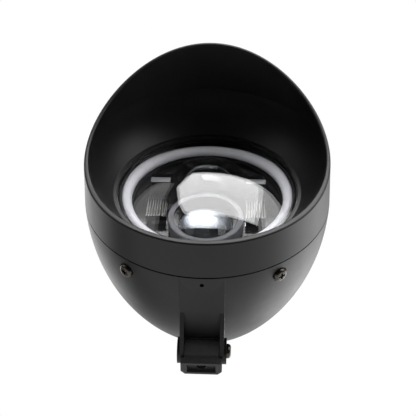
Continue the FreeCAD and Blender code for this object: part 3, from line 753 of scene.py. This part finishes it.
@dataclass
class CoverAndHalo:
    """Clear cover and the milky ring behind its edge.

    Attributes:
        lamp: The lamp's axes.
        shop: Maker of pieces.
        wall_mm: Thickness of the cover.
        skirt_mm: Thickness of its skirt.
        dome_mm: Height of its dome.
        brow_mm: Round at the cover's shoulder.
        brow_deg: Angle that the round starts at, where the dome meets it.
        brow_steps: Points along the round.
        gap_mm: Room between the cover's bore and the mask.
        dome_steps: Points along the dome.
        tube_steps: Points round the halo's section.
        steps: Steps round the axis.
    """

    lamp: LampFrame
    shop: Workshop
    wall_mm: float = 2.5
    skirt_mm: float = 2.2
    dome_mm: float = 16.0
    brow_mm: float = 1.3
    brow_deg: float = 80.0
    brow_steps: int = 6
    gap_mm: float = 0.2
    dome_steps: int = 24
    tube_steps: int = 48
    steps: int = 240

    def build(self) -> None:
        """Makes both pieces."""
        self.build_cover()
        self.build_halo()

    def build_cover(self) -> None:
        """Smooth cover with a rounded shoulder and its flange."""
        flange, back, crown = self.lamp.span("lens_cover")
        wall, brow, skirt = self.wall_mm * MM, self.brow_mm * MM, self.skirt_mm * MM
        bore = self.lamp.span("inner_bezel")[0] + self.gap_mm * MM
        outer = bore + skirt
        edge = crown - self.dome_mm * MM
        front = back + wall
        profile = cap_points(outer - brow, edge, crown, self.dome_steps)
        profile += arc_points((outer - brow, edge - brow), brow, self.brow_deg, 0, self.brow_steps)
        profile += [(outer, front), (flange, front), (flange, back), (bore, back)]
        dome = cap_points(bore - brow, edge, crown, self.dome_steps)
        inner = [(radius, along - wall) for radius, along in reversed(dome)]
        profile += [(bore, inner[0][1] - brow), *inner]
        work = bmesh.new()
        spin(work, profile, self.lamp.point, self.steps)
        self.shop.piece("clear_cover", work, [CLEAR_COVER], "clear_cover", ["lens_cover"])

    def build_halo(self) -> None:
        """Round light guide."""
        reach, back, front = self.lamp.span("halo_light_guide")
        tube = (front - back) / 2
        last = 360 - 360 / self.tube_steps
        profile = arc_points((reach - tube, back + tube), tube, 0, last, self.tube_steps)
        work = bmesh.new()
        spin(work, profile, self.lamp.point, self.steps, closed=True)
        self.shop.piece("opal_halo", work, [OPAL_ACRYLIC], "milky_acrylic", ["halo_light_guide"])


@dataclass
class Projector:
    """One projector lens with its collar, reflector and light source.

    Attributes:
        beam: Which of the two it is.
        lamp: The lamp's axes.
        shop: Maker of pieces.
        rim_mm: Thickness of the lens's flat rim.
        ledge_mm: Width of the lens's flat rim.
        band_mm: Width of the collar's bright front band.
        shoulder_mm: Depth of the collar's spigot behind the mask.
        spigot_mm: Step in from the collar to its spigot.
        wall_mm: Room between the collar and the lens's rim.
        ease_mm: Bevel of the lens's rim, and overlap of the collar's throat on it.
        round_mm: Round of the collar's front band.
        round_steps: Points along the round on the band's outside.
        lip_deg: Angle that the round on the band's inside ends at.
        lip_steps: Points along the round on the band's inside.
        throat_steps: Number of steps down the collar's throat.
        throat_lean: Lean of each step, as a share of its width.
        source_mm: Side of the light source's phosphor.
        source_thick_mm: Thickness of the phosphor.
        source_strips: Number of strips that the phosphor is in.
        strip_gap: Gap each side of a strip, as a share of its width.
        painted_shade_top_mm: Height on the low beam's lens up to which its back is painted black as shade;
            above it the back is painted silver as a highlight.
        dome_steps: Points along the lens's dome.
        steps: Steps round the axis.
    """

    beam: Beam
    lamp: LampFrame
    shop: Workshop
    rim_mm: float = 2.8
    ledge_mm: float = 1.3
    band_mm: float = 4.3
    shoulder_mm: float = 3.0
    spigot_mm: float = 3.7
    wall_mm: float = 0.2
    ease_mm: float = 0.3
    round_mm: float = 0.7
    round_steps: int = 5
    lip_deg: float = 150.0
    lip_steps: int = 4
    throat_steps: int = 6
    throat_lean: float = 0.25
    source_mm: float = 4.2
    source_thick_mm: float = 0.15
    source_strips: int = 3
    strip_gap: float = 0.06
    painted_shade_top_mm: float = -3.7
    dome_steps: int = 28
    steps: int = 160

    @property
    def name(self) -> str:
        """First part of its nodes' names."""
        return f"{self.beam.name.lower()}_beam"

    def place(self, across: float, up: float, along: float) -> Vector:
        """Place about the projector's own axis."""
        return self.lamp.point(across, up + self.beam.value * self.lamp.lens_offset, along)

    def build(self) -> None:
        """Makes the lens, its collar and its light source and dresses what is behind them."""
        self.build_lens()
        self.build_collar()
        self.build_source()
        self.shop.dress(f"{self.name}_reflector", MIRROR_METAL)
        self.shop.dress(f"{self.name}_led_board", BLACK_MASK)

    def build_source(self) -> None:
        """Phosphor cap on the board's light source, in strips."""
        _, _, front = self.lamp.span(f"{self.name}_led_board")
        side, thick = self.source_mm * MM, self.source_thick_mm * MM
        strip = side / self.source_strips
        work = bmesh.new()
        for index in range(self.source_strips):
            corner = (-side / 2 + strip * (index + self.strip_gap), -side / 2, front)
            slab(work, corner, (strip * (1 - 2 * self.strip_gap), side, thick), self.place)
        self.shop.piece(f"{self.name}_phosphor", work, [LED_PHOSPHOR], "circuit_board")

    def build_lens(self) -> None:
        """Domed lens on a flat rim with an eased edge."""
        rim, back, crown = self.lamp.span(f"{self.name}_lens")
        seat, ease = back + self.rim_mm * MM, self.ease_mm * MM
        profile = cap_points(rim - self.ledge_mm * MM, seat, crown, self.dome_steps)
        profile += [(rim - ease, seat), (rim, seat - ease), (rim, back), (0.0, back)]
        work = bmesh.new()
        spin(work, profile, self.place, self.steps)
        # The lens's back carries painted shade in black and a painted highlight in silver
        self.paint_lens_back_light_and_shade(work, back)
        finishes = [LENS_GLASS, GLOSS_BLACK, PAINTED_HIGHLIGHT_SILVER]
        self.shop.piece(f"{self.name}_glass", work, finishes, "optic_glass", [f"{self.name}_lens"])

    def paint_lens_back_light_and_shade(self, work: bmesh.types.BMesh, back: float) -> None:
        """Paints shade and a highlight on the lens's flat back.

        The low beam's back is painted black as shade below a set height and silver as a highlight above it;
        the high beam's back is painted black as shade all over.

        Args:
            work: Mesh work of the lens.
            back: Along place of the flat back, metres.
        """
        rim, _, _ = self.lamp.span(f"{self.name}_lens")
        shade_edge = self.place(0.0, self.painted_shade_top_mm * MM if self.beam is Beam.LOW else 2 * rim, back)

        def flat_faces() -> list[bmesh.types.BMFace]:
            """Faces that lie in the flat back."""
            return [face for face in work.faces if all(abs(v.co.y - shade_edge.y) < TINY for v in face.verts)]

        flat = flat_faces()
        parts = flat + list({edge for face in flat for edge in face.edges})
        parts += list({vert for face in flat for vert in face.verts})
        bmesh.ops.bisect_plane(work, geom=parts, plane_co=shade_edge, plane_no=(0, 0, 1))
        # Painted shade below the height, painted highlight above it
        for face in flat_faces():
            face.material_index = 1 if face.calc_center_median().z < shade_edge.z else 2

    def build_collar(self) -> None:
        """Collar with a plain front band and fine black steps down its throat; the high beam's band is
        painted black as shade.
        """
        outer, back, front = self.lamp.span(f"{self.name}_holder")
        lens_rim, lens_back, _ = self.lamp.span(f"{self.name}_lens")
        shoulder, ease = back + self.shoulder_mm * MM, self.round_mm * MM
        throat, bore = lens_rim - (self.ledge_mm - self.ease_mm) * MM, lens_rim + self.wall_mm * MM
        ledge = lens_back + (self.rim_mm + self.wall_mm) * MM
        spigot = outer - self.spigot_mm * MM
        band = outer - self.band_mm * MM
        profile = [(outer, shoulder)]
        profile += arc_points((outer - ease, front - ease), ease, 0, 90, self.round_steps)
        profile += arc_points((band + ease, front - ease), ease, 90, self.lip_deg, self.lip_steps)
        band_end = len(profile) - 1
        top = profile[-1]
        for index in range(1, self.throat_steps + 1):
            share = index / self.throat_steps
            radius = top[0] + (throat - top[0]) * share
            along = top[1] + (ledge - top[1]) * share
            lean = self.throat_lean * (profile[-1][0] - radius)
            profile += [(profile[-1][0] - lean, along), (radius, along)]
        profile += [(bore, ledge), (bore, back), (spigot, back), (spigot, shoulder)]
        work = bmesh.new()
        spin(work, profile, self.place, self.steps, True, lambda index: 0 if index < band_end else 1)
        # The high beam's band is painted gloss black as shade, where the low beam's is grey
        finishes = [SATIN_GREY if self.beam is Beam.LOW else GLOSS_BLACK, GLOSS_BLACK]
        self.shop.piece(f"{self.name}_collar", work, finishes, "satin_silver", [f"{self.name}_holder"])


@dataclass
class SideBar:
    """Clear bar beside the lenses, with its ridge and ribs, and what shines behind it.

    Attributes:
        side: Which of the two it is.
        lamp: The lamp's axes.
        shop: Maker of pieces.
        sink_mm: Depth of the plain front behind the ridge's and ribs' crests.
        ridge_mm: Distance of the ridge's middle from the bar's top.
        ridge_half_mm: Half height of the ridge.
        ribbed_mm: Height of the ribbed stretch at the bar's foot.
        rib_pitch_mm: Pitch of the upright ribs.
        step_mm: Size of a mesh step.
        floor_mm: Depth of the tray's floor behind its back wall's front.
        chip_mm: Side of a light source.
        chip_thick_mm: Thickness of a light source.
        chip_shares: Heights of the light sources beside the ribs' height.
        block_mm: Height of the blocks on the tray's floor.
        groove_mm: Depth of the grooves between the ribs behind the bar.
        lift_mm: Height that the ribs behind the bar reach above the bar's own.
    """

    side: Side
    lamp: LampFrame
    shop: Workshop
    sink_mm: float = 0.8
    ridge_mm: float = 7.8
    ridge_half_mm: float = 3.0
    ribbed_mm: float = 21.0
    rib_pitch_mm: float = 1.8
    step_mm: float = 0.3
    floor_mm: float = 1.2
    chip_mm: float = 1.8
    chip_thick_mm: float = 0.6
    chip_shares: Point = (0.3, 0.7)
    block_mm: float = 8.0
    groove_mm: float = 1.28
    lift_mm: float = 9.0

    @property
    def name(self) -> str:
        """First part of its nodes' names."""
        return f"{self.side.name.lower()}_side"

    def build(self) -> None:
        """Makes the bar and what is in the tray, and dresses the tray."""
        self.shop.dress(f"{self.name}_reflector", MIRROR_METAL)
        self.build_bar()
        self.build_tray_parts()

    def extent(self, node: str) -> tuple[Vector, Vector]:
        """Reads a node's box in the lamp's frame.

        Args:
            node: Name of the node.

        Returns:
            Low corner and size, each as (across, up, along) in metres.
        """
        low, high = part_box(node)
        corner = Vector((low[0], low[2] - self.lamp.axis_height, self.lamp.seam - high[1]))
        return corner, Vector((high[0] - low[0], high[2] - low[2], high[1] - low[1]))

    def build_bar(self) -> None:
        """Clear bar with one ridge across it, its front painted pale grey as a highlight, and upright ribs at
        its foot.
        """
        corner, size = self.extent(f"{self.name}_optic")
        counts = tuple(round(length / (self.step_mm * MM)) for length in size[:2])
        work = bmesh.new()
        slab(work, corner, size, self.lamp.point, lambda x, y: self.bar_cut(x, y, size[1]), counts)
        ridge = self.lamp.point(0, corner[1] + size[1] - self.ridge_mm * MM, corner[2] + size[2] / 2)
        # Faces on the ridge's front get the painted highlight
        for face in work.faces:
            offset = face.calc_center_median() - ridge
            face.material_index = int(abs(offset.z) < self.ridge_half_mm * MM and offset.y < 0)
        # The ridge's front is painted pale grey as a highlight
        finishes = [CLEAR_ACRYLIC, RIDGE_PAINTED_HIGHLIGHT]
        self.shop.piece(f"{self.name}_bar", work, finishes, "optic_glass", [f"{self.name}_optic"])

    def bar_cut(self, across: float, up: float, height: float) -> float:
        """Depth of the bar's front behind its crests.

        Args:
            across: Distance from the bar's side, metres.
            up: Distance from the bar's foot, metres.
            height: Height of the bar, metres.

        Returns:
            The depth, metres.
        """
        sink = self.sink_mm * MM
        if up < self.ribbed_mm * MM:
            return sink * (1 - abs(math.sin(math.pi * across / (self.rib_pitch_mm * MM))))
        from_ridge = (up - height) / MM + self.ridge_mm
        return sink * min(1.0, (from_ridge / self.ridge_half_mm) ** 2)

    def build_tray_parts(self) -> None:
        """Dark blank behind the bar's clear stretch, and ribs with two light sources behind its foot."""
        corner, size = self.extent(f"{self.name}_reflector")
        inset = 2 * self.floor_mm * MM
        floor = corner + Vector((inset, inset, self.floor_mm * MM))
        width, height = size[0] - 2 * inset, size[1] - 2 * inset
        ribbed = (self.ribbed_mm + self.lift_mm) * MM
        pitch, groove = self.rib_pitch_mm * MM, self.groove_mm * MM
        steps = round(width / (self.step_mm * MM))
        blank, ribs, chips = bmesh.new(), bmesh.new(), bmesh.new()
        depth = self.block_mm * MM
        slab(blank, floor + Vector((0, ribbed, 0)), (width, height - ribbed, depth), self.lamp.point)
        slab(
            ribs,
            floor,
            (width, ribbed, depth),
            self.lamp.point,
            lambda x, y: groove * abs(2 * ((x / pitch) % 1) - 1),
            (steps, 1),
        )
        chip, thick = self.chip_mm * MM, self.chip_thick_mm * MM
        for share in self.chip_shares:
            spot = floor + Vector(((width - chip) / 2, ribbed * share - chip / 2, depth))
            slab(chips, spot, (chip, chip, thick), self.lamp.point)
        self.shop.piece(f"{self.name}_blank", blank, [GLOSS_BLACK], "gloss_black")
        self.shop.piece(f"{self.name}_ribs", ribs, [WHITE_PLASTIC], "mirror_cup")
        self.shop.piece(f"{self.name}_sources", chips, [LED_PHOSPHOR], "circuit_board")


@dataclass
class Insert:
    """Mask, boards, tub and sink behind the cover.

    Attributes:
        shop: Maker of pieces.
    """

    shop: Workshop

    def build(self) -> None:
        """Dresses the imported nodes."""
        self.shop.dress("inner_bezel", GLOSS_BLACK)
        self.shop.dress("insert_housing", FILLED_NYLON)
        self.shop.dress("heat_sink", CAST_ALUMINIUM)
        self.shop.dress("halo_led_board", BLACK_MASK)
        self.shop.dress("driver_board", SOLDER_MASK)


@dataclass(frozen=True)
class Softbox:
    """Rectangular soft lamp.

    Attributes:
        name: Name of the lamp.
        towards: Direction from what it lights to the lamp.
        distance: Distance between them, metres.
        size: Width and height, metres.
        radiance: Brightness of its face beside a white of 1.
    """

    name: str
    towards: tuple[float, float, float]
    distance: float
    size: Point
    radiance: float

    def add(self, target: Vector) -> None:
        """Adds the lamp to the scene.

        Args:
            target: Place that it faces.
        """
        data = bpy.data.lights.new(self.name, "AREA")
        data.shape = "RECTANGLE"
        data.size, data.size_y = self.size
        data.energy = self.radiance * math.pi * self.size[0] * self.size[1]
        lamp = bpy.data.objects.new(self.name, data)
        direction = Vector(self.towards).normalized()
        lamp.location = target + direction * self.distance
        lamp.rotation_mode = "QUATERNION"
        lamp.rotation_quaternion = (-direction).to_track_quat("-Z", "Y")
        bpy.context.scene.collection.objects.link(lamp)


@dataclass(frozen=True)
class KeySheet:
    """Glowing sheet with many corners, whose outline shows as the bright patch on the cover.

    Attributes:
        towards: Direction from what it lights to the sheet.
        distance: Distance between them, metres.
        radiance: Brightness of its face beside a white of 1.
        corners: Corners of its face, across and up in metres.
    """

    towards: tuple[float, float, float] = (-0.03, -0.803, 0.595)
    distance: float = 1.25
    radiance: float = 5.6
    corners: Sequence[Point] = (
        (-0.338, 0.1),
        (-0.139, 0.426),
        (0.082, 0.438),
        (0.606, 0.386),
        (0.777, -0.485),
        (-0.214, -0.47),
        (-0.286, -0.415),
        (-0.329, -0.236),
    )

    def add(self, target: Vector) -> None:
        """Adds the sheet to the scene.

        Args:
            target: Place that it faces.
        """
        direction = Vector(self.towards).normalized()
        turn = direction.to_track_quat("Z", "Y")
        middle = target + direction * self.distance
        work = bmesh.new()
        work.faces.new([work.verts.new(middle + turn @ Vector((*corner, 0.0))) for corner in self.corners])
        mesh = bpy.data.meshes.new("key_softbox")
        work.to_mesh(mesh)
        work.free()
        material, tree = empty_material("softbox_cloth")
        glow = add_node(tree, "ShaderNodeEmission", {"Strength": self.radiance}).outputs[0]
        add_node(tree, "ShaderNodeOutputMaterial", {"Surface": glow})
        mesh.materials.append(material)
        sheet = bpy.data.objects.new("key_softbox", mesh)
        bpy.context.scene.collection.objects.link(sheet)


@dataclass
class Studio:
    """Camera, floor, soft lamps and the white surround.

    Attributes:
        lamp: The lamp's axes.
        lens_mm: Focal length on a 36 mm sensor.
        ahead_mm: Distance of the camera ahead of the seam.
        below_mm: Distance of the camera below the lamp's axis.
        aside_mm: Distance of the camera to the right of the lamp's axis.
        seam_px: Pixel that the seam's centre falls on.
        roll_deg: Turn of the camera about its own view.
        floor_drop_mm: Depth of the floor below the mount.
        floor_radius: Radius of the floor, metres.
        floor_gloss: Brightness of the floor in reflections beside a white of 1.
        paper_edge: Row Y over which the pale paper on the floor begins, metres.
        fill: Brightness of the surround as a light.
        gloss_fill: Brightness of the surround in reflections.
        backdrop: Brightness in reflections of the paper behind the lamp.
        backdrop_turn: How far back a reflection points where that paper begins, and where it is full.
        backdrop_lean: Weights of right, back and up that tell the paper's dark low left from the rest.
        backdrop_fade: Weighted direction where the paper begins to come up from dark, and where it is full.
        key: The key lamp.
        softboxes: The broad lamps each side, behind and in front.
    """

    lamp: LampFrame
    lens_mm: float = 80.05
    ahead_mm: float = 436.7
    below_mm: float = 546.6
    aside_mm: float = 23.9
    seam_px: Point = (207.3, 193.6)
    roll_deg: float = 3.78
    floor_drop_mm: float = 900.0
    floor_radius: float = 4.0
    floor_gloss: float = 0.78
    paper_edge: Point = (-0.2, 0.1)
    fill: float = 0.5
    gloss_fill: float = 0.03
    backdrop: float = 0.95
    backdrop_turn: Point = (0.25, 0.6)
    backdrop_lean: tuple[float, float, float] = (1.0, 1.0, 1.5)
    backdrop_fade: Point = (0.3, 1.3)
    key: KeySheet = KeySheet()
    softboxes: Sequence[Softbox] = (
        Softbox("right_wall", (0.7, 0.6, 0.2), 1.5, (1.6, 1.2), 1.7),
        Softbox("left_wall", (-0.72, 0.55, 0.5), 1.5, (1.4, 1.2), 1.35),
        Softbox("right_panel", (0.77, -0.58, 0.36), 1.3, (1.0, 1.3), 2.2),
        Softbox("left_panel", (-0.76, -0.58, 0.36), 1.3, (1.0, 1.3), 0.75),
    )

    def build(self) -> None:
        """Sets up everything that isn't the part."""
        self.build_camera()
        self.build_world()
        self.build_floor()
        for light in (self.key, *self.softboxes):
            light.add(self.lamp.point(0, 0, 0))
        bpy.context.scene.view_settings.view_transform = "Standard"

    def build_camera(self) -> None:
        """Camera in front of and below the lamp, aimed so that the seam's centre falls on its pixel."""
        data = bpy.data.cameras.new("photo_camera")
        data.lens = self.lens_mm
        data.sensor_width = SENSOR_MM
        data.clip_start, data.clip_end = 0.01, 50.0
        camera = bpy.data.objects.new("photo_camera", data)
        bpy.context.scene.collection.objects.link(camera)
        camera.location = self.lamp.point(self.aside_mm * MM, -self.below_mm * MM, self.ahead_mm * MM)
        focal_px = self.lens_mm / SENSOR_MM * PICTURE_PX
        right = math.atan((self.seam_px[0] - PICTURE_PX / 2) / focal_px)
        down = math.atan((self.seam_px[1] - PICTURE_PX / 2) / focal_px)
        look = (self.lamp.point(0, 0, 0) - camera.location).to_track_quat("-Z", "Y")
        turn = Quaternion((0, 0, 1), math.radians(self.roll_deg))
        aim = Quaternion((1, 0, 0), down) @ Quaternion((0, 1, 0), right)
        camera.rotation_mode = "QUATERNION"
        camera.rotation_quaternion = look @ turn @ aim
        bpy.context.scene.camera = camera

    def build_world(self) -> None:
        """White to the eye and through glass, a pale backdrop behind the lamp and a dim studio in front."""
        world = bpy.data.worlds.new("surround")
        bpy.context.scene.world = world
        world.use_nodes = True
        tree = world.node_tree
        tree.nodes.clear()
        path = add_node(tree, "ShaderNodeLightPath").outputs
        place = add_node(tree, "ShaderNodeTexCoord").outputs["Generated"]
        behind = add_node(tree, "ShaderNodeSeparateXYZ", {0: place}).outputs["Y"]
        lean = {0: place, 1: self.backdrop_lean}
        fade = {
            "Value": add_node(tree, "ShaderNodeVectorMath", lean, operation="DOT_PRODUCT").outputs["Value"],
            "From Min": self.backdrop_fade[0],
            "From Max": self.backdrop_fade[1],
            "To Min": self.gloss_fill,
            "To Max": self.backdrop,
        }
        turn = {
            "Value": behind,
            "From Min": self.backdrop_turn[0],
            "From Max": self.backdrop_turn[1],
            "To Min": self.gloss_fill,
            "To Max": add_node(tree, "ShaderNodeMapRange", fade).outputs[0],
        }
        mirrored = add_node(tree, "ShaderNodeMapRange", turn).outputs[0]
        no_mirror = {0: path["Glossy Depth"], 1: FIRST_MIRROR}
        direct = add_node(tree, "ShaderNodeMath", no_mirror, operation="LESS_THAN").outputs[0]
        eye_or_glass = {0: path["Is Camera Ray"], 1: path["Is Transmission Ray"]}
        clear = add_node(tree, "ShaderNodeMath", eye_or_glass, operation="MAXIMUM").outputs[0]
        white = add_node(tree, "ShaderNodeMath", {0: clear, 1: direct}, operation="MULTIPLY").outputs[0]
        dim = add_node(tree, "ShaderNodeMix", {0: direct, 2: mirrored, 3: self.fill}).outputs[0]
        strength = add_node(tree, "ShaderNodeMix", {0: white, 2: dim, 3: 1.0}).outputs[0]
        sky = add_node(tree, "ShaderNodeBackground", {"Color": (1, 1, 1, 1), "Strength": strength})
        add_node(tree, "ShaderNodeOutputWorld", {"Surface": sky.outputs[0]})

    def build_floor(self) -> None:
        """Wide pale floor well below the lamp, as far down as on a motorcycle."""
        work = bmesh.new()
        bmesh.ops.create_circle(work, cap_ends=True, segments=96, radius=self.floor_radius)
        mesh = bpy.data.meshes.new("studio_floor")
        work.to_mesh(mesh)
        work.free()
        floor = bpy.data.objects.new("studio_floor", mesh)
        floor.location.z = -self.floor_drop_mm * MM
        bpy.context.scene.collection.objects.link(floor)
        material = FLOOR_PAPER.material()
        self.show_in_gloss(material.node_tree)
        mesh.materials.append(material)

    def show_in_gloss(self, tree: Tree) -> None:
        """Lets clear parts see the floor as pale, and reflections see it so from the paper's edge back.

        Args:
            tree: Node tree of the floor's material.
        """
        output = tree.nodes["Material Output"]
        paper = output.inputs["Surface"].links[0].from_socket
        path = add_node(tree, "ShaderNodeLightPath").outputs
        gloss_or_glass = {0: path["Is Glossy Ray"], 1: path["Is Transmission Ray"]}
        seen = add_node(tree, "ShaderNodeMath", gloss_or_glass, operation="MAXIMUM").outputs[0]
        place = add_node(tree, "ShaderNodeTexCoord").outputs["Object"]
        edge = {
            "Value": add_node(tree, "ShaderNodeSeparateXYZ", {0: place}).outputs["Y"],
            "From Min": self.paper_edge[0],
            "From Max": self.paper_edge[1],
            "To Min": self.gloss_fill,
            "To Max": self.floor_gloss,
        }
        glow = add_node(tree, "ShaderNodeMapRange", edge).outputs[0]
        no_mirror = {0: path["Glossy Depth"], 1: FIRST_MIRROR}
        direct = add_node(tree, "ShaderNodeMath", no_mirror, operation="LESS_THAN").outputs[0]
        shown = add_node(tree, "ShaderNodeMix", {0: direct, 2: glow, 3: self.floor_gloss}).outputs[0]
        pale = add_node(tree, "ShaderNodeEmission", {"Strength": shown}).outputs[0]
        mixed = add_node(tree, "ShaderNodeMixShader", {0: seen, 1: paper, 2: pale}).outputs[0]
        tree.links.new(mixed, output.inputs["Surface"])


def main() -> None:
    """Builds the sub-assemblies in order."""
    logging.basicConfig(level=logging.INFO, format="%(message)s")
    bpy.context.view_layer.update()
    lamp = LampFrame.read()
    shop = Workshop()
    assemblies = [Shell(lamp, shop), Insert(shop), CoverAndHalo(lamp, shop)]
    assemblies += [Projector(beam, lamp, shop) for beam in Beam]
    assemblies += [SideBar(side, lamp, shop) for side in Side]
    assemblies.append(Studio(lamp))
    for assembly in assemblies:
        LOG.info("building %s", type(assembly).__name__)
        assembly.build()


if __name__ == "__main__":
    main()
